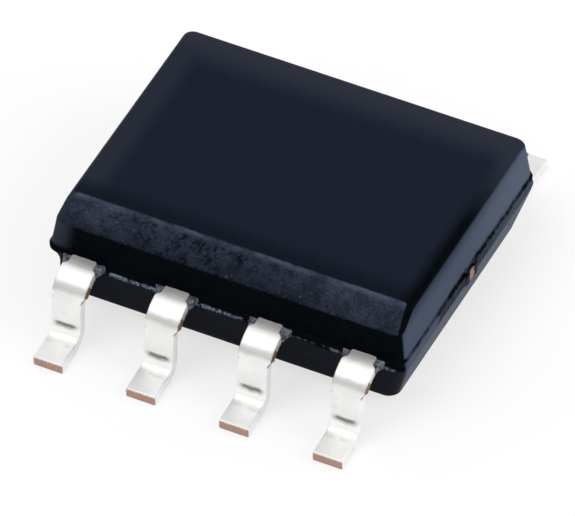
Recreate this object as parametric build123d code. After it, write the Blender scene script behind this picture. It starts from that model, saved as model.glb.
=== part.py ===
from build123d import *
import math
import os

# Operational amplifier in a small-outline package with eight gull-wing leads.
# All sizes are in millimetres. The origin is on the seating plane under the package's centre,
# +X runs from pin 1 to pin 4, +Y towards pins 5 to 8 and +Z up.

# Pin layout
pin_pitch = 1.27
pins_per_side = 4
end_margin = 0.545  # from the outermost lead's centre line to the body's end

# Moulded body
body_width = 3.90  # across the leads, at the lead-frame layer
body_height = 1.46  # from the underside to the top face
standoff = 0.15  # from the seating plane to the underside
lower_draft = 16.5  # degrees, on all four sides below the leads
end_draft = 8.0  # degrees, on both ends above the leads
side_draft = 5.5  # degrees, on both long sides above the leads
parting_ledge = 0.03  # the upper half stands in this much from the lead-frame layer
bevel_drop = 0.19
bevel_run = 0.41
corner_radius = 0.12  # upright edges above the lead-frame layer
lower_corner_radius = 0.16
top_edge_radius = 0.10
bevel_edge_radius = 0.06
bottom_edge_radius = 0.10
ejector_mark_diameter = 1.0
ejector_mark_depth = 0.02
flash_spread = 0.14  # resin left beside each lead's neck, along the body's side
flash_thinning = 0.02  # how much thinner than the lead frame it is, above and below

# Lead frame, outside the body
frame_thickness = 0.15
frame_top = 1.02  # the leads' top face, above the seating plane
neck_width = 0.34
stub_width = 0.45  # where the dam bar was cut off
foot_width = 0.40
stub_start = 0.16  # from the body's side to the cut dam bar
stub_flare = 0.06  # the neck widens to the dam bar over this length
stub_end_height = 0.76
shank_reach = 0.53  # from the body's side to the shank's outer face
lead_reach = 1.05  # from the body's side to the toe
bend_radius = 0.30  # inside the shoulder bend
heel_radius = 0.14  # inside the heel bend
foot_slope = 4.5  # degrees, down towards the toe

# Lead frame, inside the body
paddle_length = 2.30
paddle_width = 1.90
paddle_drop = 0.20  # the paddle's top lies this far under the leads' top
tie_bar_width = 0.18
tie_bar_shelf = 0.10  # level run of the tie bar beside the paddle
tie_bar_ramp = 0.20  # length along X of the sloping run
tie_bar_end = 0.01  # the cut end stands out of the body
tip_gap = 0.20  # in plan, from the paddle to the leads' inner ends
tip_width = 0.50  # inner end of a middle lead
tip_length = 0.35
corner_tip_length = 0.45  # inner end of an outermost lead, beside the paddle
corner_tip_inset = 0.40  # from the tie bar to that end

# Chip and wires
die_length = 1.50
die_width = 1.10
die_thickness = 0.25
attach_thickness = 0.025
attach_margin = 0.04
pad_inset = 0.10  # from the die's edge to the centre of a bond pad
bond_inset = 0.13  # from a lead's inner end to the centre of the stitch
wire_diameter = 0.025
wire_sides = 8  # flats that stand in for the round wire
loop_height = 0.17  # top of the wire's path above the die
loop_width = 0.05  # the wire turns from upright to its long run over this length
landing_length = 0.14
ball_diameter = 0.07
ball_height = 0.018
stitch_length = 0.09
stitch_width = 0.055
stitch_flare = 80.0  # degrees at the wide end's corners
stitch_height = 0.008

# Heights and places that follow
outer_pin_x = (pins_per_side - 1) * pin_pitch / 2
half_length = outer_pin_x + end_margin
half_width = body_width / 2
body_top = standoff + body_height
frame_bottom = frame_top - frame_thickness
frame_middle = frame_top - frame_thickness / 2
paddle_top = frame_top - paddle_drop
paddle_bottom = paddle_top - frame_thickness
die_bottom = paddle_top + attach_thickness
die_top = die_bottom + die_thickness
corner_tip_start = tie_bar_width / 2 + corner_tip_inset
bevel_foot = body_top - bevel_drop


def run(draft, height):
    """How far a drafted side leans in over a height."""
    return height * math.tan(math.radians(draft))


def strip(path, width, across):
    """A strip of the lead frame, bent along a path, as wide as given in the direction across."""
    section = Plane(origin=path @ 0, x_dir=across, z_dir=path % 0) * Rectangle(width, frame_thickness)
    return sweep(section, path)


def block(x_low, x_high, y_low, y_high, z_low, z_high):
    """A plain block between two corners."""
    size = (x_high - x_low, y_high - y_low, z_high - z_low)
    middle = ((x_low + x_high) / 2, (y_low + y_high) / 2, (z_low + z_high) / 2)
    return Pos(*middle) * Box(*size)


def cross_section(points):
    """The body's section across the leads, drawn in Y and Z and as long as the body."""
    face = make_face(Polyline(*[(0, y, z) for y, z in points], close=True))
    return extrude(face, half_length, dir=(1, 0, 0), both=True)


def end_section(points):
    """The body's section along the leads, drawn in X and Z and as deep as the body."""
    face = make_face(Polyline(*[(x, 0, z) for x, z in points], close=True))
    return extrude(face, half_width, dir=(0, 1, 0), both=True)


def mirrored(points):
    """A right-hand outline from bottom to top, closed by its mirror image."""
    return points + [(-across, z) for across, z in reversed(points)]


def lower_half():
    """The body from its underside to the top of the lead-frame layer."""
    lean = run(lower_draft, frame_bottom - standoff)
    across = [(half_width - lean, standoff), (half_width, frame_bottom), (half_width, frame_top)]
    along = [(half_length - lean, standoff), (half_length, frame_bottom), (half_length, frame_top)]
    half = cross_section(mirrored(across)) & end_section(mirrored(along))
    uprights = [edge for edge in half.edges() if edge.bounding_box().size.Z > bottom_edge_radius]
    half = fillet(uprights, lower_corner_radius)
    underside = half.faces().sort_by(Axis.Z)[0]
    half = fillet(underside.edges(), bottom_edge_radius)
    mark = Pos(0, 0, standoff) * Cylinder(ejector_mark_diameter / 2, 2 * ejector_mark_depth)
    return half - mark


def upper_half():
    """The body above the leads, with its bevel on the side of pins 1 to 4."""
    side = half_width - parting_ledge
    end = half_length - parting_ledge
    rear_top = side - run(side_draft, body_top - frame_top)
    bevel_edge = side - run(side_draft, bevel_foot - frame_top)
    across = [
        (side, frame_top),
        (rear_top, body_top),
        (bevel_run - bevel_edge, body_top),
        (-bevel_edge, bevel_foot),
        (-side, frame_top),
    ]
    end_top = end - run(end_draft, body_top - frame_top)
    middle_height = (frame_top + bevel_foot) / 2
    along = [(end, frame_top), (end_top, body_top)]
    half = cross_section(across) & end_section(mirrored(along))
    base = [edge for edge in half.edges() if edge.bounding_box().min.Z < middle_height]
    corners = [edge for edge in base if edge.bounding_box().max.Z > middle_height]
    half = fillet(corners, corner_radius)

    bevel_top = bevel_run - bevel_edge
    crest = half.faces().sort_by(Axis.Z)[-1].edges()
    half = fillet([edge for edge in crest if edge.center().Y > bevel_top + corner_radius], top_edge_radius)
    rims = [edge for edge in half.edges() if edge.bounding_box().min.Z > middle_height]
    around_bevel = [edge for edge in rims if edge.bounding_box().min.Z < body_top - top_edge_radius]
    return fillet([edge for edge in around_bevel if edge.center().Y < bevel_top], bevel_edge_radius)


def flash(x):
    """Resin left on both sides of one front lead's neck, as two low gussets up to the cut dam bar."""
    spread = neck_width / 2 + flash_spread
    gusset = Polyline(
        (x - spread, -half_width),
        (x + spread, -half_width),
        (x + stub_width / 2, -half_width - stub_start),
        (x - stub_width / 2, -half_width - stub_start),
        close=True,
    )
    low = frame_bottom + flash_thinning
    high = frame_top - flash_thinning
    root = block(x - spread, x + spread, -half_width, -half_width + corner_radius, low, high)
    return root + extrude(Pos(0, 0, low) * make_face(gusset), high - low)


def front_lead(x):
    """One lead of the row of pins 1 to 4, from its inner end to its toe."""
    slope = math.radians(foot_slope)
    shank = half_width + shank_reach - frame_thickness / 2
    toe = half_width + lead_reach - math.sin(slope) * frame_thickness / 2
    toe_height = math.cos(slope) * frame_thickness / 2
    heel_height = toe_height + (toe - shank) * math.tan(slope)
    centre_line = FilletPolyline(
        (x, -half_width + corner_radius, frame_middle),
        (x, -shank, frame_middle),
        (x, -shank, heel_height),
        (x, -toe, toe_height),
        radius=[bend_radius + frame_thickness / 2, heel_radius + frame_thickness / 2],
    )
    neck = strip(centre_line, neck_width, (1, 0, 0))

    stub_y = -half_width - stub_start
    far_y = -half_width - lead_reach - frame_thickness
    flare = Polyline(
        (x - neck_width / 2, stub_y + stub_flare),
        (x - stub_width / 2, stub_y),
        (x - stub_width / 2, far_y),
        (x + stub_width / 2, far_y),
        (x + stub_width / 2, stub_y),
        (x + neck_width / 2, stub_y + stub_flare),
        close=True,
    )
    cut_bar = Pos(0, 0, stub_end_height) * extrude(make_face(flare), frame_top)
    stub = strip(centre_line, stub_width, (1, 0, 0)) & cut_bar

    below = block(x - stub_width, x + stub_width, far_y, -half_width, -frame_thickness, stub_end_height)
    foot = strip(centre_line, foot_width, (1, 0, 0)) & below
    return neck + stub + foot + inner_end(x)


def inner_end(x):
    """The part of a front lead inside the body: a finger with a wide end for its bond wire."""
    if abs(x) < outer_pin_x - pin_pitch / 2:
        tip_y = -paddle_width / 2 - tip_gap
        tip = block(x - tip_width / 2, x + tip_width / 2, tip_y - tip_length, tip_y, frame_bottom, frame_top)
    else:
        tip_y = -corner_tip_start
        near = math.copysign(paddle_length / 2 + tip_gap, x)
        far = math.copysign(outer_pin_x + neck_width / 2, x)
        tip_sides = sorted([near, far])
        tip = block(*tip_sides, tip_y - corner_tip_length, tip_y, frame_bottom, frame_top)
    root_y = -half_width + corner_radius
    finger = block(x - neck_width / 2, x + neck_width / 2, root_y, tip_y, frame_bottom, frame_top)
    return tip + finger


def stitch_place(x):
    """Where a front lead takes its bond wire, in plan."""
    if abs(x) < outer_pin_x - pin_pitch / 2:
        return x, -paddle_width / 2 - tip_gap - bond_inset
    return math.copysign(paddle_length / 2 + tip_gap + bond_inset, x), -corner_tip_start - bond_inset


def die_pad():
    """The paddle under the chip and its two tie bars, which run up to the ends of the body."""
    pad = block(
        -paddle_length / 2, paddle_length / 2, -paddle_width / 2, paddle_width / 2, paddle_bottom, paddle_top
    )
    low = paddle_top - frame_thickness / 2
    shelf = paddle_length / 2 + tie_bar_shelf
    for side in (-1, 1):
        centre_line = FilletPolyline(
            (side * paddle_length / 4, 0, low),
            (side * shelf, 0, low),
            (side * (shelf + tie_bar_ramp), 0, frame_middle),
            (side * (half_length + tie_bar_end), 0, frame_middle),
            radius=frame_thickness,
        )
        pad += strip(centre_line, tie_bar_width, (0, 1, 0))
    return pad


def die():
    return block(-die_length / 2, die_length / 2, -die_width / 2, die_width / 2, die_bottom, die_top)


def die_attach():
    half_x = die_length / 2 + attach_margin
    half_y = die_width / 2 + attach_margin
    return block(-half_x, half_x, -half_y, half_y, paddle_top, die_bottom)


def front_wire(x, lead):
    """The bond wire of one front lead: ball on the die, loop, and stitch on the lead's inner end."""
    pad_x = x / outer_pin_x * (die_length / 2 - pad_inset)
    pad_y = -die_width / 2 + pad_inset
    end_x, end_y = stitch_place(x)
    heading = Vector(end_x - pad_x, end_y - pad_y).normalized()
    crest = Vector(pad_x, pad_y) + heading * loop_width
    landing = Vector(end_x, end_y) - heading * landing_length
    path = Polyline(
        (pad_x, pad_y, die_top + ball_height / 2),
        (pad_x, pad_y, die_top + loop_height - loop_width),
        (crest.X, crest.Y, die_top + loop_height),
        (landing.X, landing.Y, frame_top + wire_diameter),
        (end_x, end_y, frame_top + stitch_height / 2),
    )
    section = Plane(origin=path @ 0, z_dir=path % 0) * RegularPolygon(wire_diameter / 2, wire_sides)
    wire = sweep(section, path, transition=Transition.RIGHT)
    ball = Pos(pad_x, pad_y, die_top + ball_height / 2) * Cylinder(ball_diameter / 2, ball_height)
    turn = math.degrees(math.atan2(heading.Y, heading.X))
    fish_tail = Rot(0, 0, turn + 90) * Trapezoid(stitch_width, stitch_length, stitch_flare)
    stitch = extrude(Pos(end_x, end_y, frame_top) * fish_tail, stitch_height)
    return (wire - lead) + ball + stitch


def pin_positions():
    """The X of each front lead, from pin 1 to the last one of the row."""
    return [(pin - (pins_per_side - 1) / 2) * pin_pitch for pin in range(pins_per_side)]


def turned(shape):
    """The same piece in the opposite row: half a turn about the package's vertical axis."""
    return Rot(0, 0, 180) * shape


front_leads = [front_lead(x) for x in pin_positions()]
front_wires = [front_wire(x, lead) for x, lead in zip(pin_positions(), front_leads)]
leads = front_leads + [turned(lead) for lead in front_leads]
wires = front_wires + [turned(wire) for wire in front_wires]

parts = {f"lead_{number}": lead for number, lead in enumerate(leads, start=1)}
parts |= {f"bond_wire_{number}": wire for number, wire in enumerate(wires, start=1)}
parts["die_pad"] = die_pad()
parts["die_attach"] = die_attach()
parts["silicon_die"] = die()

front_flash = [flash(x) for x in pin_positions()]
body = lower_half() + upper_half() + front_flash + [turned(piece) for piece in front_flash]
parts["mould_body"] = body - list(parts.values())

os.makedirs("parts", exist_ok=True)
for name, shape in parts.items():
    export_step(shape, f"parts/{name}.step")
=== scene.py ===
import math

import bpy
from mathutils import Matrix, Vector, noise


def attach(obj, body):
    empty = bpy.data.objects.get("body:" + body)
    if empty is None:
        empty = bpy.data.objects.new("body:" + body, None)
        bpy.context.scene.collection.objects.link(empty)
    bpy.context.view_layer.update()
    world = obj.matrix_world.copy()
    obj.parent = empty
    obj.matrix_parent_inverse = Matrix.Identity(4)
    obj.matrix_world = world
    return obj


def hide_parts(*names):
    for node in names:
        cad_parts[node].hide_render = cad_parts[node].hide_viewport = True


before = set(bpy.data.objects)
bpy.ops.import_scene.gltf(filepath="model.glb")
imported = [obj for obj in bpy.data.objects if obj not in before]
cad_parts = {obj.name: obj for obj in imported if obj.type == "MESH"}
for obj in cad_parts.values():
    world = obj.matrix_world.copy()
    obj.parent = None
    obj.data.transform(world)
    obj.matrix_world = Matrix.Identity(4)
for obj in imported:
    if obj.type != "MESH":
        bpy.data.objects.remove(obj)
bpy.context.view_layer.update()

# Operational amplifier in a small-outline package. Sizes are in millimetres, as in the CAD model,
# and each mesh is scaled to metres when it is made.
MM = 0.001

# Moulded body
half_length = 2.45
half_width = 1.95
underside = 0.15
body_top = 1.61
lower_slope = math.tan(math.radians(16.5))
end_slope = math.tan(math.radians(8.0))
side_slope = math.tan(math.radians(5.5))
parting_ledge = 0.03
bevel_foot = 1.42
bevel_run = 0.41
bottom_edge_radius = 0.10
top_edge_radius = 0.10
corner_radius = 0.12
lower_corner_radius = 0.16
ejector_mark_radius = 0.50
ejector_mark_depth = 0.02
bevel_end_x = 2.31  # half the bevel's length, along its foot
bevel_end_lean = 0.36  # how far each of its ends draws in for each millimetre of height
corner_chip_reach = 0.42
corner_chip_depth = 0.075

# The body's unevenness, as heights and depths
skin_grain = 0.0010
bevel_grain = 0.004
bevel_fine_grain = 0.0015
bevel_pit_depth = 0.010
crest_chip_depth = 0.003
torn_depth = 0.011
torn_grain = 0.016
torn_fine_grain = 0.009
smear_height = 0.024
fin_height = 0.026
fin_level = 0.905  # the middle of the fin of flash, above the seating plane
fin_spread = 0.055

# Leads
pin_pitch = 1.27
pins_per_side = 4
frame_top = 1.02
frame_thickness = 0.15
neck_width = 0.34
stub_width = 0.45
foot_width = 0.40
stub_start = 0.16
stub_flare = 0.06
stub_end_height = 0.76
stub_step = 0.012  # height over which the stub narrows to the foot's width
shank_reach = 0.53
front_reach = 1.02
rear_reach = 1.10
bend_radius = 0.30
heel_radius = 0.14
foot_slope = math.radians(4.5)
tool_mark_height = 0.342
lead_edge_radius = 0.022
flash_spread = 0.14
flash_thinning = 0.02
flash_grain = 0.018
lead_grain = 0.0016
lead_fine_grain = 0.0006
tool_dent_depth = 0.008
swelling_height = 0.012
# Height of the painted dark reflection across the shoulder's bend.
swelling_drop = 0.075  # from the tool's mark down to the swelling
shoulder_reflection_height = 0.865
bare_side_start = 0.22  # from the body's side to the bare copper at the stub's cut sides
bare_side_top = 0.87
toe_rounding = 0.012

# Inner ends of the leads
paddle_length = 2.30
paddle_width = 1.90
tip_gap = 0.20
tip_width = 0.50
tip_length = 0.35
corner_tip_start = 0.49
corner_tip_length = 0.45

frame_bottom = frame_top - frame_thickness
frame_middle = frame_top - frame_thickness / 2
outer_pin_x = (pins_per_side - 1) * pin_pitch / 2
bevel_base_y = parting_ledge + (bevel_foot - frame_top) * side_slope - half_width
bevel_top_y = bevel_base_y + bevel_run


def lerp(low, high, share):
    return low + (high - low) * share


def smooth(low, high, value):
    """0 below low, 1 above high and a smooth rise between them."""
    share = min(max((value - low) / (high - low), 0.0), 1.0)
    return share * share * (3 - 2 * share)


def bump(centre, spread, value):
    """1 at the centre, falling to 0 at the spread on either side."""
    return 1 - smooth(0, spread, abs(value - centre))


def grain(point, per_mm, octaves=3, offset=0.0):
    """Repeatable noise of about -1 to 1, with so many features to the millimetre."""
    place = Vector(point) * per_mm + Vector((offset, offset * 0.7, offset * 1.3))
    return noise.fractal(place, 0.9, 2.1, octaves)


def loft(name, rings):
    """A closed mesh through rings of equally many points, given in millimetres."""
    count = len(rings[0])
    vertices = [tuple(MM * c for c in point) for ring in rings for point in ring]
    faces = []
    for low in range(len(rings) - 1):
        for i in range(count):
            j = (i + 1) % count
            a, b = low * count, (low + 1) * count
            faces.append((a + i, a + j, b + j, b + i))
    faces.append(tuple(reversed(range(count))))
    faces.append(tuple(range((len(rings) - 1) * count, len(rings) * count)))
    mesh = bpy.data.meshes.new(name)
    mesh.from_pydata(vertices, [], faces)
    mesh.shade_smooth()
    piece = bpy.data.objects.new(name, mesh)
    bpy.context.scene.collection.objects.link(piece)
    return piece


def displace(piece, amount):
    """Moves each vertex along its normal by amount(point, normal), both of them in millimetres."""
    mesh = piece.data
    normals = [Vector(n.vector) for n in mesh.vertex_normals]
    for vertex, normal in zip(mesh.vertices, normals):
        point = vertex.co / MM
        vertex.co += normal * amount(point, normal) * MM
    mesh.update()


# The moulded body, as a stack of level slices from the underside to the top face

FRONT_STEPS = 380
REAR_STEPS = 150
END_STEPS = 200
CORNER_STEPS = 12


def slice_ring(half_x, rear, front, radius, z):
    """One level slice: a rectangle with rounded corners, counter-clockwise from its front left."""
    points = []
    near_x, low_y, high_y = half_x - radius, front + radius, rear - radius
    sides = [
        ((-near_x, front), (near_x, front), FRONT_STEPS, (near_x, low_y), -90),
        ((half_x, low_y), (half_x, high_y), END_STEPS, (near_x, high_y), 0),
        ((near_x, rear), (-near_x, rear), REAR_STEPS, (-near_x, high_y), 90),
        ((-half_x, high_y), (-half_x, low_y), END_STEPS, (-near_x, low_y), 180),
    ]
    for start, end, steps, centre, first_angle in sides:
        for i in range(steps):
            points.append((lerp(start[0], end[0], i / steps), lerp(start[1], end[1], i / steps), z))
        for i in range(CORNER_STEPS):
            angle = math.radians(first_angle + 90 * i / CORNER_STEPS)
            points.append((centre[0] + radius * math.cos(angle), centre[1] + radius * math.sin(angle), z))
    return points


def edge_round(depth, radius):
    """How far a rounded edge has drawn in at a depth from its start, up to its radius."""
    depth = min(max(depth, 0.0), radius)
    return radius - math.sqrt(radius * radius - depth * depth)


def slice_at(z, shrink=0.0):
    """The body's slice at a height, or the same slice drawn in by shrink for the flat faces."""
    if z <= frame_bottom:
        lean = (frame_bottom - z) * lower_slope
        lean += edge_round(underside + bottom_edge_radius - z, bottom_edge_radius)
        half_x = half_length - lean
        rear = half_width - lean
        front = -rear
        radius = lower_corner_radius
    elif z <= frame_top:
        half_x, rear, front, radius = half_length, half_width, -half_width, lower_corner_radius
    else:
        height = z - frame_top
        rounding = edge_round(z - body_top + top_edge_radius, top_edge_radius)
        half_x = half_length - parting_ledge - height * end_slope - rounding
        rear = half_width - parting_ledge - height * side_slope - rounding
        wall = parting_ledge + height * side_slope - half_width
        bevel = bevel_base_y + (z - bevel_foot) * bevel_run / (body_top - bevel_foot)
        front = max(wall, bevel)
        radius = corner_radius
    corner = max(radius - shrink * 0.5, 0.02)
    return slice_ring(half_x - shrink, rear - shrink, front + shrink, corner, z)


def body_levels():
    """Heights of the slices, closer together at the parting line, the bevel and the rounded edges."""
    levels = [underside + bottom_edge_radius * (1 - math.cos(math.radians(a))) for a in range(0, 90, 15)]
    spans = [
        (underside + bottom_edge_radius, frame_bottom - 0.06, 8),
        (frame_bottom - 0.06, frame_top + 0.10, 18),
        (frame_top + 0.10, bevel_foot - 0.04, 8),
        (bevel_foot - 0.04, body_top - 0.012, 26),
    ]
    for low, high, steps in spans:
        levels += [lerp(low, high, i / steps) for i in range(steps)]
    levels += [body_top - 0.012, body_top - 0.006, body_top - 0.002, body_top]
    return levels


def circle_of(ring, radius, z):
    """The ring's points moved onto a circle about the package's centre line."""
    angles = [math.atan2(y, x) for x, y, _ in ring]
    return [(radius * math.cos(angle), radius * math.sin(angle), z) for angle in angles]


def on_bevel(point):
    """1 on the bevel's face, 0 well away from it."""
    x, y, z = point
    above_foot = smooth(bevel_foot - 0.02, bevel_foot + 0.01, z)
    below_top = smooth(bevel_top_y + 0.01, bevel_top_y - 0.02, y)
    along = abs(x) + bevel_end_lean * (z - bevel_foot)
    return above_foot * below_top * smooth(bevel_end_x + 0.02, bevel_end_x - 0.03, along)


def torn_layer(point):
    """1 in the torn layer where the mould's halves met, 0 well away from it, and less near the corners."""
    x, y, z = point
    at_end = smooth(half_length - 0.13, half_length - 0.06, abs(x))
    at_end *= lerp(0.4, 1, smooth(-1.5, -0.3, y))
    at_end *= lerp(1, 0.6, smooth(0.4, 1.4, y))
    at_side = smooth(half_width - 0.13, half_width - 0.06, abs(y))
    top = frame_top + 0.09 * smooth(-1.6, 0.6, y) * at_end
    height = smooth(frame_bottom - 0.03, frame_bottom + 0.03, z) * smooth(top + 0.02, top - 0.03, z)
    beside_tie_bar = smooth(0.12, 0.20, abs(y))
    return height * max(at_end * beside_tie_bar, 0.35 * at_side)


def tie_bar_smear(point):
    """Height of the resin smeared over the edges of the tie bars' ends."""
    x, y, z = point
    if abs(x) < half_length - 0.1:
        return 0.0
    edge = abs(y) + 0.03 * grain(point, 16, 3, 17)
    over_bar = smooth(0.058, 0.078, edge) * smooth(0.20, 0.12, abs(y))
    return smear_height * over_bar * smooth(0.80, 0.86, z) * smooth(1.10, 1.04, z)


def flash_ridge(point):
    """Height of the thin broken fin of flash along both rows of leads."""
    x, y, z = point
    if abs(y) < half_width - 0.1:
        return 0.0
    strength = lerp(1, 0.5, smooth(-0.9, 0.4, x))
    broken = smooth(-0.70, -0.05, grain((x, 0, 0), 5, 3, 11) + 0.35 * grain(point, 26, 2, 4))
    across = bump(fin_level, fin_spread, z)
    return fin_height * strength * broken * across * (1 + 0.5 * grain(point, 30, 2, 4))


def corner_chip(point):
    """Depth of the resin broken off below the parting line at the front left corner."""
    x, y, z = point
    away = math.hypot(x + half_length - 0.05, y + half_width - 0.05)
    near = smooth(corner_chip_reach, 0.12, away)
    return corner_chip_depth * near * smooth(0.50, 0.74, z) * smooth(0.97, 0.90, z)


def body_relief(point, normal):
    """The body's unevenness: fine all over, coarse on the bevel and torn at the parting line."""
    fine = skin_grain * grain(point, 9)
    pits = smooth(0.42, 0.62, grain(point, 11, 3, 21)) * bevel_pit_depth
    rough = bevel_grain * grain(point, 10, 4) + bevel_fine_grain * grain(point, 40, 3, 5) - pits
    bevel = on_bevel(point) * rough
    crest = bump(body_top, 0.04, point.z) * bump(bevel_top_y, 0.05, point.y)
    chips = crest * crest_chip_depth * smooth(0.0, 0.5, grain((point.x, 0, 0), 12, 3, 9))
    ripped = torn_grain * grain(point, 6, 4, 3) + torn_fine_grain * grain(point, 24, 3, 7) - torn_depth
    torn = torn_layer(point) * ripped
    added = flash_ridge(point) + tie_bar_smear(point)
    return fine + bevel - chips + torn + added - corner_chip(point)


around_mark = 0.8  # how far in from the underside's edge the ring round the ejector mark lies
underside_insets = (0.3, 0.08)
top_insets = (0.02, 0.06, 0.15, 0.4, 1.0)
outer = slice_at(underside, around_mark)
mark_floor = underside + ejector_mark_depth
mark_profile = [
    (ejector_mark_radius - 0.004, mark_floor),
    (ejector_mark_radius, mark_floor - 0.004),
    (ejector_mark_radius, underside + 0.003),
    (ejector_mark_radius + 0.006, underside),
]
rings = [circle_of(outer, radius, z) for radius, z in mark_profile]
rings += [outer]
rings += [slice_at(underside, inset) for inset in underside_insets]
rings += [slice_at(level) for level in body_levels()]
rings += [slice_at(body_top, inset) for inset in top_insets]
mould = loft("moulded_body", rings)
displace(mould, body_relief)


# The leads, each lofted along its bent centre line

LEAD_SPACING = 0.012


def bent_path(corners, radii, spacing):
    """Stations about spacing apart on a line with rounded bends, as (place, direction) in Y and Z."""
    corners = [Vector(corner) for corner in corners]
    stations = []
    start = corners[0]
    for i, corner in enumerate(corners[1:], start=1):
        along = (corner - corners[i - 1]).normalized()
        if i < len(corners) - 1:
            after = (corners[i + 1] - corner).normalized()
            turn = math.acos(along.dot(after))
            cut = radii[i - 1] * math.tan(turn / 2)
            end = corner - along * cut
        else:
            end = corner
        steps = max(int((end - start).length / spacing), 1)
        for k in range(steps + 1):
            stations.append((start.lerp(end, k / steps), along))
        if i < len(corners) - 1:
            side = math.copysign(1, along.x * after.y - along.y * after.x)
            inward = Vector((-along.y, along.x)) * side
            centre = end + inward * radii[i - 1]
            steps = max(int(radii[i - 1] * turn / spacing), 4)
            for k in range(1, steps):
                turned = Matrix.Rotation(side * turn * k / steps, 2)
                stations.append((centre + turned @ (end - centre), turned @ along))
            start = corner + after * cut
    return stations


def section(half_across, half_deep, radius):
    """A rectangle with rounded corners, as (across, deep) pairs, counter-clockwise."""
    steps = 5
    points = []
    for quarter, (sx, sy) in enumerate(((1, -1), (1, 1), (-1, 1), (-1, -1))):
        centre = (sx * (half_across - radius), sy * (half_deep - radius))
        for k in range(steps + 1):
            angle = math.radians(-90 + 90 * quarter + 90 * k / steps)
            points.append((centre[0] + radius * math.cos(angle), centre[1] + radius * math.sin(angle)))
    return points


def lead_half_width(reach, z):
    """Half the lead's width at a distance from the package's centre line and a height."""
    if reach < half_width + stub_start:
        flare = smooth(half_width + stub_start - stub_flare, half_width + stub_start, reach)
        return lerp(neck_width, stub_width, flare) / 2
    if z > stub_end_height:
        return stub_width / 2
    return lerp(stub_width, foot_width, smooth(stub_end_height, stub_end_height - stub_step, z)) / 2


def lead_stations(reach):
    """The centre line of a lead of the front row, in Y and Z, from the body's side to its toe."""
    shank = half_width + shank_reach - frame_thickness / 2
    toe = half_width + reach - math.sin(foot_slope) * frame_thickness / 2
    toe_height = math.cos(foot_slope) * frame_thickness / 2
    heel_height = toe_height + (toe - shank) * math.tan(foot_slope)
    root = half_width - corner_radius
    corners = [(-root, frame_middle), (-shank, frame_middle), (-shank, heel_height), (-toe, toe_height)]
    radii = [bend_radius + frame_thickness / 2, heel_radius + frame_thickness / 2]
    return bent_path(corners, radii, LEAD_SPACING)


def inner_end(x):
    """The lead inside the body, as (y, middle x, half width) from its bonding end outwards."""
    if abs(x) < outer_pin_x - pin_pitch / 2:
        start = paddle_width / 2 + tip_gap
        middle, half, length = x, tip_width / 2, tip_length
    else:
        start = corner_tip_start
        near = paddle_length / 2 + tip_gap
        far = outer_pin_x + neck_width / 2
        middle, half, length = math.copysign((near + far) / 2, x), (far - near) / 2, corner_tip_length
    wide = [(-start, middle, half), (-start - length, middle, half)]
    return wide + [(-start - length - 0.01, x, neck_width / 2)]


def across_lead(x, station, outline):
    """A section's points at one station of a lead's centre line."""
    place, along = station
    return [(x + a, place.x + along.y * d, place.y - along.x * d) for a, d in outline]


def lead_rings(x, reach):
    """One lead's rings, from its bonding end to its toe's cut face."""
    half_deep = frame_thickness / 2
    rings = []
    for y, middle, half in inner_end(x):
        outline = section(half, half_deep, lead_edge_radius)
        rings.append([(middle + a, y, frame_middle + d) for a, d in outline])
    stations = lead_stations(reach)
    for station in stations:
        place, _ = station
        half = lead_half_width(-place.x, place.y)
        rings.append(across_lead(x, station, section(half, half_deep, lead_edge_radius)))
    toe_face = section(half - toe_rounding, half_deep - toe_rounding, lead_edge_radius / 2)
    rings.append(across_lead(x, stations[-1], toe_face))
    return rings


def web_rings(x, side):
    """Resin left in the corner between the body, one side of a neck and the cut dam bar."""
    steps = 10
    rings = []
    for i in range(steps + 1):
        share = i / steps
        inner = neck_width / 2 - 0.02
        outer = lerp(neck_width / 2 + flash_spread, stub_width / 2 + 0.004, share ** 0.6)
        middle = x + side * (inner + outer) / 2
        y = -half_width + 0.03 - (stub_start + 0.03) * share
        high = frame_top - flash_thinning - 0.03 * share
        low = frame_bottom + flash_thinning
        outline = section((outer - inner) / 2, (high - low) / 2, 0.02)
        rings.append([(middle + a, y, (low + high) / 2 + d) for a, d in outline])
    return rings


def web_relief(point, normal):
    return flash_grain * grain(point, 16, 3, 13)


def lead_relief(point, normal):
    """The lead's slight unevenness, with the forming tool's dent above the heel and the swelling under it."""
    uneven = lead_grain * grain(point, 5, 3, 2) + lead_fine_grain * grain(point, 30, 2, 4)
    if normal.y > -0.5 or point.y > -half_width - shank_reach + 0.05:
        return uneven
    dent = tool_dent_depth * bump(tool_mark_height, 0.05, point.z)
    swelling = swelling_height * bump(tool_mark_height - swelling_drop, 0.06, point.z)
    return uneven - dent + swelling


# Materials. Textures and masks read the surface point in millimetres.

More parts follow.
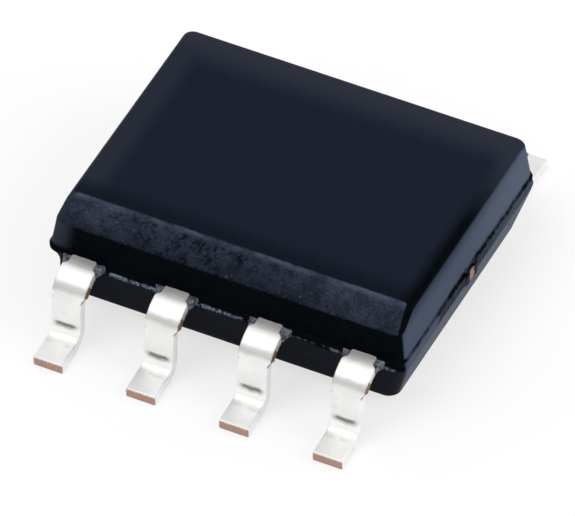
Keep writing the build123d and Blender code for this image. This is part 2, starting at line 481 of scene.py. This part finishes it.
class Look:
    """A material in the making, with short calls for the nodes it is made of."""

    def __init__(self, name):
        self.material = bpy.data.materials.new(name)
        self.material.use_nodes = True
        self.nodes = self.material.node_tree.nodes
        self.links = self.material.node_tree.links
        self.shader = self.nodes["Principled BSDF"]

    def add(self, kind, **settings):
        made = self.nodes.new(kind)
        for key, value in settings.items():
            setattr(made, key, value)
        return made

    def feed(self, socket, value):
        """Sets a socket to a number or a colour, or links an output to it."""
        if isinstance(value, tuple):
            socket.default_value = (*value, 1)
        elif isinstance(value, (int, float)):
            socket.default_value = value
        else:
            self.links.new(value, socket)

    def place(self):
        """The surface point in millimetres, in the part's own frame."""
        coordinates = self.add("ShaderNodeTexCoord")
        scale = self.add("ShaderNodeVectorMath", operation="SCALE")
        scale.inputs["Scale"].default_value = 1 / MM
        self.links.new(coordinates.outputs["Object"], scale.inputs[0])
        return scale.outputs[0]

    def stretch(self, place, factors):
        """The same point with its axes scaled, so that a texture on it runs long or short."""
        stretched = self.add("ShaderNodeVectorMath", operation="MULTIPLY")
        stretched.inputs[1].default_value = factors
        self.links.new(place, stretched.inputs[0])
        return stretched.outputs[0]

    def split(self, vector):
        """The X, Y and Z of a vector."""
        split = self.add("ShaderNodeSeparateXYZ")
        self.links.new(vector, split.inputs[0])
        return split.outputs

    def noise(self, place, per_mm, detail, roughness):
        """Cloudy noise of 0 to 1, with so many features to the millimetre."""
        texture = self.add("ShaderNodeTexNoise")
        texture.inputs["Scale"].default_value = per_mm
        texture.inputs["Detail"].default_value = detail
        texture.inputs["Roughness"].default_value = roughness
        self.links.new(place, texture.inputs["Vector"])
        return texture.outputs["Fac"]

    def rise(self, value, low, high, out_low=0.0, out_high=1.0):
        """A smooth step of a value between two limits."""
        step = self.add("ShaderNodeMapRange", interpolation_type="SMOOTHSTEP")
        limits = {"From Min": low, "From Max": high, "To Min": out_low, "To Max": out_high}
        for name, number in limits.items():
            step.inputs[name].default_value = number
        self.links.new(value, step.inputs["Value"])
        return step.outputs["Result"]

    def maths(self, operation, *values):
        node = self.add("ShaderNodeMath", operation=operation)
        for socket, value in zip(node.inputs, values):
            self.feed(socket, value)
        return node.outputs[0]

    def product(self, first, *others):
        for other in others:
            first = self.maths("MULTIPLY", first, other)
        return first

    def distance(self, value, centre):
        return self.maths("ABSOLUTE", self.maths("SUBTRACT", value, centre))

    def mix(self, share, first, second):
        """A mix of two colours, from the first at 0 to the second at 1."""
        mix = self.add("ShaderNodeMix", data_type="RGBA")
        self.links.new(share, mix.inputs["Factor"])
        self.feed(mix.inputs[6], first)
        self.feed(mix.inputs[7], second)
        return mix.outputs[2]

    def finish(self, colour, roughness, relief, relief_mm, metallic=0.0):
        """Connects the surface's colour, roughness and fine relief."""
        inputs = self.shader.inputs
        self.feed(inputs["Base Color"], colour)
        self.feed(inputs["Roughness"], roughness)
        inputs["Metallic"].default_value = metallic
        raised = self.add("ShaderNodeBump")
        raised.inputs["Strength"].default_value = 1.0
        raised.inputs["Distance"].default_value = relief_mm * MM
        self.links.new(relief, raised.inputs["Height"])
        self.links.new(raised.outputs["Normal"], inputs["Normal"])
        return self.material


# Linear colours of the moulding compound

# The near-black sides and the lighter top are painted shade and painted light on one compound. The mottle
# between each pair of tones is the compound's own.
SIDE_DARK = (0.0010, 0.0018, 0.0028)
SIDE_LIGHT = (0.0018, 0.0030, 0.0045)
LOWER_SIDE = (0.0040, 0.0060, 0.0105)
LEFT_CORNER_HIGHLIGHT = (0.0240, 0.0300, 0.0420)
REAR_EDGE_HIGHLIGHT = (0.0220, 0.0270, 0.0410)
TOP_DARK = (0.0092, 0.0128, 0.0232)
TOP_LIGHT = (0.0104, 0.0142, 0.0252)
TOP_RIM_HIGHLIGHT = (0.0240, 0.0292, 0.0435)
TOP_BY_CREST = (0.0050, 0.0068, 0.0135)
BEVEL_DARK = (0.0032, 0.0048, 0.0098)
BEVEL_LIGHT = (0.0440, 0.0535, 0.0830)
BEVEL_CREST_HIGHLIGHT = (0.068, 0.082, 0.115)
BEVEL_SPOT = (0.10, 0.115, 0.15)
PALE_SPECK = (0.12, 0.13, 0.16)
# The ends' colours are painted light, with a painted dark reflection along their top edge.
END_EDGE_SHADE = (0.0220, 0.0300, 0.0500)
END_FACE_LIGHT = (0.0580, 0.0740, 0.1180)
END_REAR_LIGHT = (0.1080, 0.1300, 0.1860)
LOWER_END_LIGHT = (0.0650, 0.0800, 0.1150)
TORN_DARK = (0.0220, 0.0282, 0.0418)
TORN_LIGHT = (0.0430, 0.0540, 0.0780)
UNDERSIDE = (0.0120, 0.0150, 0.0220)
FIN_DARK = (0.03, 0.04, 0.06)
FIN_LIGHT = (0.17, 0.22, 0.30)


class MouldLook(Look):
    """Moulding compound: painted light on the top and ends, painted shade on the sides, painted highlights on
    the rims and the bevel's crest, a mottled bevel and pale flash.
    """

    def __init__(self):
        super().__init__("moulding_compound")
        place = self.place()
        self.x, self.y, self.z = self.split(place)
        self.mottle = self.noise(place, 9, 6, 0.7)
        self.specks = self.noise(place, 34, 3, 0.6)
        self.blotch = self.noise(place, 2.6, 3, 0.55)
        self.crest_streaks = self.noise(self.stretch(place, (0.5, 1.0, 1.0)), 7, 3, 0.5)
        self.patch = self.rise(self.mottle, 0.36, 0.66)
        wobble = self.rise(self.specks, 0.3, 0.7, -0.006, 0.006)
        self.ragged_y = self.maths("ADD", self.y, wobble)
        self.ragged_z = self.maths("ADD", self.z, wobble)
        self.below_seam = self.rise(self.z, frame_bottom + 0.01, frame_bottom - 0.03)

    # Masks: 1 in the region and 0 outside it

    def top_mask(self):
        on_top = self.rise(self.z, body_top - 0.03, body_top - 0.01)
        behind_bevel = self.rise(self.ragged_y, bevel_top_y - 0.012, bevel_top_y + 0.012)
        inside_end = self.rise(self.x, 2.30, 2.08)
        return self.product(on_top, behind_bevel, inside_end)

    def bevel_mask(self):
        above_foot = self.rise(self.ragged_z, bevel_foot - 0.018, bevel_foot + 0.012)
        below_top = self.rise(self.ragged_y, bevel_top_y + 0.012, bevel_top_y - 0.012)
        lean = self.product(self.maths("SUBTRACT", self.z, bevel_foot), bevel_end_lean)
        along = self.maths("ADD", self.maths("ABSOLUTE", self.x), lean)
        inside_end = self.rise(along, bevel_end_x + 0.01, bevel_end_x - 0.01)
        return self.product(above_foot, below_top, inside_end)

    def crest_highlight_mask(self, bevel):
        # Painted highlight in streaks along the bevel's crest.
        near_top = self.rise(self.y, bevel_top_y - 0.09, bevel_top_y - 0.01)
        return self.product(near_top, bevel, self.rise(self.crest_streaks, 0.42, 0.62, 0.20, 0.80))

    def torn_mask(self):
        above_seam = self.rise(self.ragged_z, frame_bottom - 0.01, frame_bottom + 0.02)
        below_top = self.rise(self.ragged_z, frame_top + 0.06, frame_top + 0.02)
        to_rear = self.rise(self.y, -1.6, -0.2, -0.14, 0.20)
        coverage = self.maths("ADD", self.blotch, to_rear)
        return self.product(above_seam, below_top, self.rise(coverage, 0.42, 0.56))

    def fin_mask(self):
        above = self.rise(self.z, fin_level - 0.050, fin_level - 0.035)
        below = self.rise(self.z, fin_level + 0.060, fin_level + 0.040)
        outside = self.rise(self.maths("ABSOLUTE", self.y), half_width + 0.002, half_width + 0.014)
        return self.product(above, below, outside)

    # Colours of the regions

    def side_colour(self):
        # The sides are painted near black as painted shade, a little less dark below the seam.
        colour = self.mix(self.patch, SIDE_DARK, SIDE_LIGHT)
        colour = self.mix(self.below_seam, colour, LOWER_SIDE)
        wall_lean = self.product(self.maths("SUBTRACT", self.z, frame_top), end_slope)
        # Painted highlight on the sides near the rounded left corner, above the parting line.
        from_corner = self.rise(self.maths("SUBTRACT", self.x, wall_lean), -2.08, -2.30)
        left_corner_highlight = self.product(from_corner, self.rise(self.z, frame_top, frame_top + 0.08))
        colour = self.mix(left_corner_highlight, colour, LEFT_CORNER_HIGHLIGHT)
        # Painted highlight along the upper rear edge, growing towards the rear.
        rear_edge_highlight = self.product(self.rise(self.y, 0.0, 1.6), self.rise(self.z, 1.50, 1.56))
        return self.mix(rear_edge_highlight, colour, REAR_EDGE_HIGHLIGHT)

    def top_colour(self):
        # The top's lighter haze is painted light. Its mottle is the compound's own.
        colour = self.mix(self.patch, TOP_DARK, TOP_LIGHT)
        # Painted highlight along the top's left and rear edges.
        left_rim_highlight = self.rise(self.x, -1.85, -2.15, 0.0, 0.6)
        rear_rim_highlight = self.rise(self.y, 1.15, 1.75)
        colour = self.mix(self.maths("MAXIMUM", left_rim_highlight, rear_rim_highlight), colour, TOP_RIM_HIGHLIGHT)
        near_crest = self.rise(self.y, -1.10, -1.40, 0.0, 0.8)
        return self.mix(near_crest, colour, TOP_BY_CREST)

    def bevel_colour(self):
        towards_ends = self.rise(self.distance(self.x, -0.2), 0.6, 2.3, 0.78, 1.50)
        cloudy = self.rise(self.blotch, 0.36, 0.60, 0.62, 1.22)
        speckled = self.rise(self.specks, 0.34, 0.66, 0.74, 1.26)
        upwards = self.rise(self.ragged_y, bevel_base_y, bevel_top_y, 0.70, 1.35)
        veins = self.rise(self.mottle, 0.36, 0.54, -0.34, 0.14)
        veins = self.product(veins, self.rise(self.distance(self.x, -0.6), 1.4, 0.3, 0.40, 1.0))
        lightness = self.product(towards_ends, cloudy, speckled, upwards)
        share = self.product(self.maths("ADD", veins, 0.34), lightness)
        return self.mix(share, BEVEL_DARK, BEVEL_LIGHT)

    def end_colour(self):
        # Painted light on the ends: a painted dark reflection along the top edge, lighter below it, lighter
        # still towards the rear and below the seam.
        below_edge = self.rise(self.z, body_top + 0.01, 1.30)
        colour = self.mix(below_edge, END_EDGE_SHADE, END_FACE_LIGHT)
        to_rear = self.rise(self.y, -0.6, 1.9, 0.0, 0.5)
        colour = self.mix(to_rear, colour, END_REAR_LIGHT)
        colour = self.mix(self.below_seam, colour, LOWER_END_LIGHT)
        # The torn layer is darker rough resin of its own. Its lightening towards the rear is painted light.
        torn = self.mix(self.rise(self.y, 0.1, 1.2), TORN_DARK, TORN_LIGHT)
        return self.mix(self.torn_mask(), colour, torn)

    def fin_colour(self):
        return self.mix(self.rise(self.specks, 0.40, 0.60), FIN_DARK, FIN_LIGHT)

    def whole_colour(self, bevel):
        """All regions together, each laid over those before it."""
        facing_x, _, facing_z = self.split(self.add("ShaderNodeNewGeometry").outputs["Normal"])
        # Faces turned towards the ends get the ends' painted light.
        on_end = self.rise(self.maths("ABSOLUTE", facing_x), 0.80, 0.96)
        colour = self.mix(on_end, self.side_colour(), self.end_colour())
        under = self.rise(facing_z, -0.80, -0.96)
        colour = self.mix(under, colour, UNDERSIDE)
        colour = self.mix(self.top_mask(), colour, self.top_colour())
        colour = self.mix(bevel, colour, self.bevel_colour())
        colour = self.mix(self.crest_highlight_mask(bevel), colour, BEVEL_CREST_HIGHLIGHT)
        bevel_spots = self.product(self.rise(self.specks, 0.66, 0.76), bevel)
        colour = self.mix(bevel_spots, colour, BEVEL_SPOT)
        colour = self.mix(self.rise(self.specks, 0.76, 0.80), colour, PALE_SPECK)
        return self.mix(self.fin_mask(), colour, self.fin_colour())


def mould_material():
    look = MouldLook()
    bevel = look.bevel_mask()
    satin = look.rise(look.mottle, 0.3, 0.7, 0.38, 0.46)
    roughness = look.maths("ADD", satin, look.product(bevel, 0.25))
    look.shader.inputs["Specular IOR Level"].default_value = 0.01
    fine_relief = look.product(look.specks, 0.25)
    relief = look.maths("ADD", fine_relief, look.product(look.mottle, bevel, 1.4))
    return look.finish(look.whole_colour(bevel), roughness, relief, 0.006)


# Linear colours of the tin plate

TIN_DULL = (0.87, 0.865, 0.85)
TIN_BRIGHT = (0.94, 0.94, 0.93)
TIN_RUBBED = (0.58, 0.58, 0.57)
TIN_SHADE_BY_BODY = (0.36, 0.35, 0.32)
TIN_SWELLING_HIGHLIGHT = (1.0, 1.0, 0.99)
TIN_GREY_BAND = (0.50, 0.50, 0.48)
TIN_DRAGGED = (0.8, 0.79, 0.77)
TOOL_MARK_AND_STEP_SHADOW = (0.190, 0.180, 0.150)


def tin_material():
    """Matte tin plate, with painted shade, a painted highlight and a painted dark reflection, and the forming
    tool's mark above each heel darkened as painted shadow.
    """
    look = Look("tin_plate")
    place = look.place()
    x, y, z = look.split(place)
    cloud = look.noise(place, 3.0, 5, 0.6)
    fine = look.noise(place, 40, 3, 0.6)
    fine_cloud = look.noise(place, 6.0, 4, 0.6)
    shank_face = half_width + shank_reach

    pitch_place = look.maths("WRAP", look.maths("ADD", x, pin_pitch / 2), pin_pitch / 2, -pin_pitch / 2)
    from_middle = look.maths("ABSOLUTE", pitch_place)
    reach = look.maths("ABSOLUTE", y)
    wavy_z = look.maths("ADD", z, look.rise(fine_cloud, 0.3, 0.7, -0.010, 0.010))

    outward = look.rise(reach, shank_face - 0.03, shank_face - 0.01)
    # The forming tool's mark is a dent of its own, darkened here as painted shadow in the dent.
    across_mark = look.rise(look.distance(wavy_z, tool_mark_height), 0.070, 0.0)
    mark = look.product(across_mark, outward, look.rise(from_middle, 0.190, 0.090))
    # Painted shadow under the stub's step, at each lead's edges.
    across_step_shadow = look.rise(look.distance(wavy_z, stub_end_height - 0.02), 0.024, 0.0)
    at_edge = look.rise(from_middle, 0.182, 0.200)
    step_shadow = look.product(across_step_shadow, at_edge, look.rise(reach, half_width + 0.35, half_width + 0.38))
    dark = look.maths("MAXIMUM", mark, step_shadow)

    colour = look.mix(look.rise(cloud, 0.35, 0.65), TIN_DULL, TIN_BRIGHT)
    rubbed = look.rise(fine_cloud, 0.56, 0.70, 0.0, 0.25)
    colour = look.mix(rubbed, colour, TIN_RUBBED)
    # Painted shade on the leads next to the body.
    shade_by_body = look.product(look.rise(reach, half_width + 0.22, half_width + 0.02), 0.62)
    colour = look.mix(shade_by_body, colour, TIN_SHADE_BY_BODY)
    # Painted highlight on the swelling under the tool's mark, on the outward face above the heel.
    highlight_under_mark = look.rise(wavy_z, tool_mark_height - 0.022, tool_mark_height - 0.042)
    above_heel = look.rise(wavy_z, 0.19, 0.22)
    colour = look.mix(look.product(highlight_under_mark, above_heel, outward), colour, TIN_SWELLING_HIGHLIGHT)
    # A painted dark reflection across the shoulder's bend, and a patchy grey band across each foot.
    shoulder_reflection = look.rise(look.distance(wavy_z, shoulder_reflection_height), 0.075, 0.01, 0.0, 0.80)
    across_foot_band = look.rise(look.distance(reach, shank_face + 0.17), 0.05, 0.0)
    foot_band = look.product(across_foot_band, look.rise(fine_cloud, 0.44, 0.58, 0.0, 0.35))
    colour = look.mix(look.maths("MAXIMUM", shoulder_reflection, foot_band), colour, TIN_GREY_BAND)
    colour = look.mix(dark, colour, TOOL_MARK_AND_STEP_SHADOW)
    return look.finish(colour, look.rise(cloud, 0.3, 0.7, 0.36, 0.48), fine, 0.0015, metallic=0.45)


def copper_material(name, dark, light, tin_above=None):
    """Sheared copper alloy. With tin_above, plating is dragged over the cut above that height."""
    look = Look(name)
    place = look.place()
    streak = look.noise(look.stretch(place, (1.0, 1.0, 0.25)), 30, 4, 0.6)
    colour = look.mix(streak, dark, light)
    if tin_above is not None:
        _, _, z = look.split(place)
        edge = look.maths("ADD", z, look.rise(streak, 0.3, 0.7, -0.006, 0.006))
        plated = look.rise(edge, tin_above - 0.015, tin_above + 0.012)
        colour = look.mix(plated, colour, TIN_DRAGGED)
    return look.finish(colour, look.rise(streak, 0.3, 0.7, 0.35, 0.55), streak, 0.004, metallic=0.5)


def clouded_material(name, dark, light, metallic, roughness, per_mm, spread=0.5):
    """A colour clouded between two shades, over a spread of the noise, with a fine grain."""
    look = Look(name)
    cloud = look.noise(look.place(), per_mm, 4, 0.6)
    colour = look.mix(look.rise(cloud, 0.5 - spread, 0.5 + spread), dark, light)
    satin = look.rise(cloud, 0.3, 0.7, roughness - 0.06, roughness + 0.06)
    return look.finish(colour, satin, cloud, 0.001, metallic=metallic)


mould_look = mould_material()
tin_look = tin_material()
sheared_look = copper_material("sheared_copper", (0.09, 0.045, 0.020), (0.30, 0.150, 0.075))
toe_look = copper_material("toe_cut", (0.25, 0.130, 0.092), (0.58, 0.38, 0.30), tin_above=0.128)
flash_dark = (0.010, 0.013, 0.022)
flash_light = (0.15, 0.17, 0.22)
web_look = clouded_material("resin_flash", flash_dark, flash_light, 0.0, 0.55, 18, spread=0.16)

mould.data.materials.append(mould_look)
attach(mould, "root")
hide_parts("mould_body")


def keep_in_row(piece, half_turn):
    """Turns a piece made in the front row into the rear row, and makes it ride on the part."""
    if half_turn:
        piece.data.transform(Matrix.Rotation(math.pi, 4, "Z"))
        piece.data.update()
    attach(piece, "root")


def make_lead(number, x, reach, half_turn):
    """One whole lead, from its bonding end inside the body to its toe, in place of its CAD node."""
    piece = loft(f"plated_lead_{number}", lead_rings(x, reach))
    displace(piece, lead_relief)
    mesh = piece.data
    for look in (tin_look, sheared_look, toe_look):
        mesh.materials.append(look)
    for face in mesh.polygons:
        centre = face.center / MM
        off_middle = abs(centre.x - x)
        past_start = centre.y < -half_width - bare_side_start
        beside_stub = off_middle > stub_width / 2 - 0.006 and stub_end_height < centre.z < bare_side_top
        near_step = abs(centre.z - stub_end_height + stub_step / 2) < stub_step
        under_stub = off_middle > foot_width / 2 - 0.004 and near_step
        inside_body = centre.y > -half_width + 0.05
        if centre.y < -half_width - reach + toe_rounding and face.normal.y < -0.7:
            face.material_index = 2
        elif (beside_stub and past_start) or under_stub or inside_body:
            face.material_index = 1
    keep_in_row(piece, half_turn)
    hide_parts(f"lead_{number}")


def make_web(number, side_name, side, x, half_turn):
    """One gusset of resin flash beside a lead's neck."""
    piece = loft(f"flash_{number}_{side_name}", web_rings(x, side))
    displace(piece, web_relief)
    piece.data.materials.append(web_look)
    keep_in_row(piece, half_turn)


for pin in range(pins_per_side):
    x = (pin - (pins_per_side - 1) / 2) * pin_pitch
    rows = ((pin + 1, front_reach, False), (pin + 1 + pins_per_side, rear_reach, True))
    for number, reach, half_turn in rows:
        make_lead(number, x, reach, half_turn)
        make_web(number, "a", -1, x, half_turn)
        make_web(number, "b", 1, x, half_turn)

# The inner solids keep their CAD shapes and get looks of their own

inner_looks = {
    "die_pad": clouded_material("bare_copper", (0.20, 0.11, 0.08), (0.42, 0.25, 0.18), 0.8, 0.45, 12),
    "die_attach": clouded_material("silver_adhesive", (0.42, 0.42, 0.40), (0.58, 0.58, 0.56), 0.6, 0.50, 60),
    "silicon_die": clouded_material("silicon", (0.10, 0.10, 0.13), (0.16, 0.16, 0.19), 0.3, 0.22, 6),
}
gold = clouded_material("gold", (0.85, 0.58, 0.20), (0.95, 0.70, 0.30), 1.0, 0.25, 20)
for name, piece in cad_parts.items():
    look = gold if name.startswith("bond_wire") else inner_looks.get(name)
    if look:
        piece.data.materials.clear()
        piece.data.materials.append(look)

# Studio, in metres: pale floor, soft lamps and a long-lens camera at the photograph's angle

FLOOR_HALF = 1.5
FLOOR_GLOW = 0.68  # share of plain white in the floor as the camera sees it
floor_mesh = bpy.data.meshes.new("floor")
floor_corners = [(x * FLOOR_HALF, y * FLOOR_HALF, 0) for x, y in ((-1, -1), (1, -1), (1, 1), (-1, 1))]
floor_mesh.from_pydata(floor_corners, [], [(0, 1, 2, 3)])
floor = bpy.data.objects.new("floor", floor_mesh)
bpy.context.scene.collection.objects.link(floor)
paper = Look("floor_paper")
paper.shader.inputs["Base Color"].default_value = (0.97, 0.97, 0.97, 1)
paper.shader.inputs["Roughness"].default_value = 0.9
glow = paper.add("ShaderNodeEmission")
rays = paper.add("ShaderNodeLightPath").outputs
seen = paper.maths("MAXIMUM", rays["Is Camera Ray"], rays["Is Glossy Ray"])
seen = paper.maths("MAXIMUM", seen, rays["Is Transmission Ray"])
paper_white = paper.add("ShaderNodeMixShader")
paper.feed(paper_white.inputs["Fac"], paper.product(seen, FLOOR_GLOW))
paper.feed(paper_white.inputs[1], paper.shader.outputs["BSDF"])
paper.feed(paper_white.inputs[2], glow.outputs["Emission"])
paper.feed(paper.nodes["Material Output"].inputs["Surface"], paper_white.outputs["Shader"])
floor_mesh.materials.append(paper.material)

LAMP_DISTANCE = 0.6
LAMP_SIZE = 0.35
lamp_target = Vector((0, 0, 0.8)) * MM


def soft_lamp(name, azimuth, elevation, level):
    """A square softbox in a direction from the part, in degrees, with its brightness as a level of white."""
    lamp = bpy.data.lights.new(name, "AREA")
    lamp.shape = "SQUARE"
    lamp.size = LAMP_SIZE
    lamp.energy = level * math.pi * LAMP_SIZE * LAMP_SIZE
    holder = bpy.data.objects.new(name, lamp)
    bpy.context.scene.collection.objects.link(holder)
    turn = math.radians(azimuth)
    climb = math.radians(elevation)
    direction = Vector((
        math.sin(turn) * math.cos(climb),
        -math.cos(turn) * math.cos(climb),
        math.sin(climb),
    ))
    holder.location = lamp_target + direction * LAMP_DISTANCE
    holder.rotation_euler = direction.to_track_quat("Z", "Y").to_euler()


soft_lamp("key", azimuth=-38, elevation=64, level=2.7)
soft_lamp("side", azimuth=100, elevation=35, level=2.5)

world = bpy.data.worlds.new("studio")
bpy.context.scene.world = world
world.use_nodes = True
background = world.node_tree.nodes["Background"]
background.inputs["Color"].default_value = (1, 1, 1, 1)
background.inputs["Strength"].default_value = 0.70

CAMERA_AZIMUTH, CAMERA_ELEVATION, CAMERA_ROLL = (math.radians(a) for a in (24.8, 43.5, 0.98))
CAMERA_DISTANCE = 0.15
PIXELS_PER_MM = 80.7  # at the point aimed at
IMAGE_WIDTH = 575
camera_data = bpy.data.cameras.new("camera")
camera_data.sensor_width = 36
camera_data.lens = PIXELS_PER_MM / MM * CAMERA_DISTANCE * camera_data.sensor_width / IMAGE_WIDTH
camera_data.clip_start = 0.01
camera = bpy.data.objects.new("camera", camera_data)
bpy.context.scene.collection.objects.link(camera)
turning = (
    Matrix.Rotation(CAMERA_AZIMUTH, 3, "Z")
    @ Matrix.Rotation(math.pi / 2 - CAMERA_ELEVATION, 3, "X")
    @ Matrix.Rotation(CAMERA_ROLL, 3, "Z")
)
aim = Vector((-0.043, 0.122, 0.6)) * MM
camera.matrix_world = Matrix.Translation(turning @ (aim + Vector((0, 0, CAMERA_DISTANCE)))) @ turning.to_4x4()
bpy.context.scene.camera = camera

bpy.context.scene.view_settings.view_transform = "Standard"
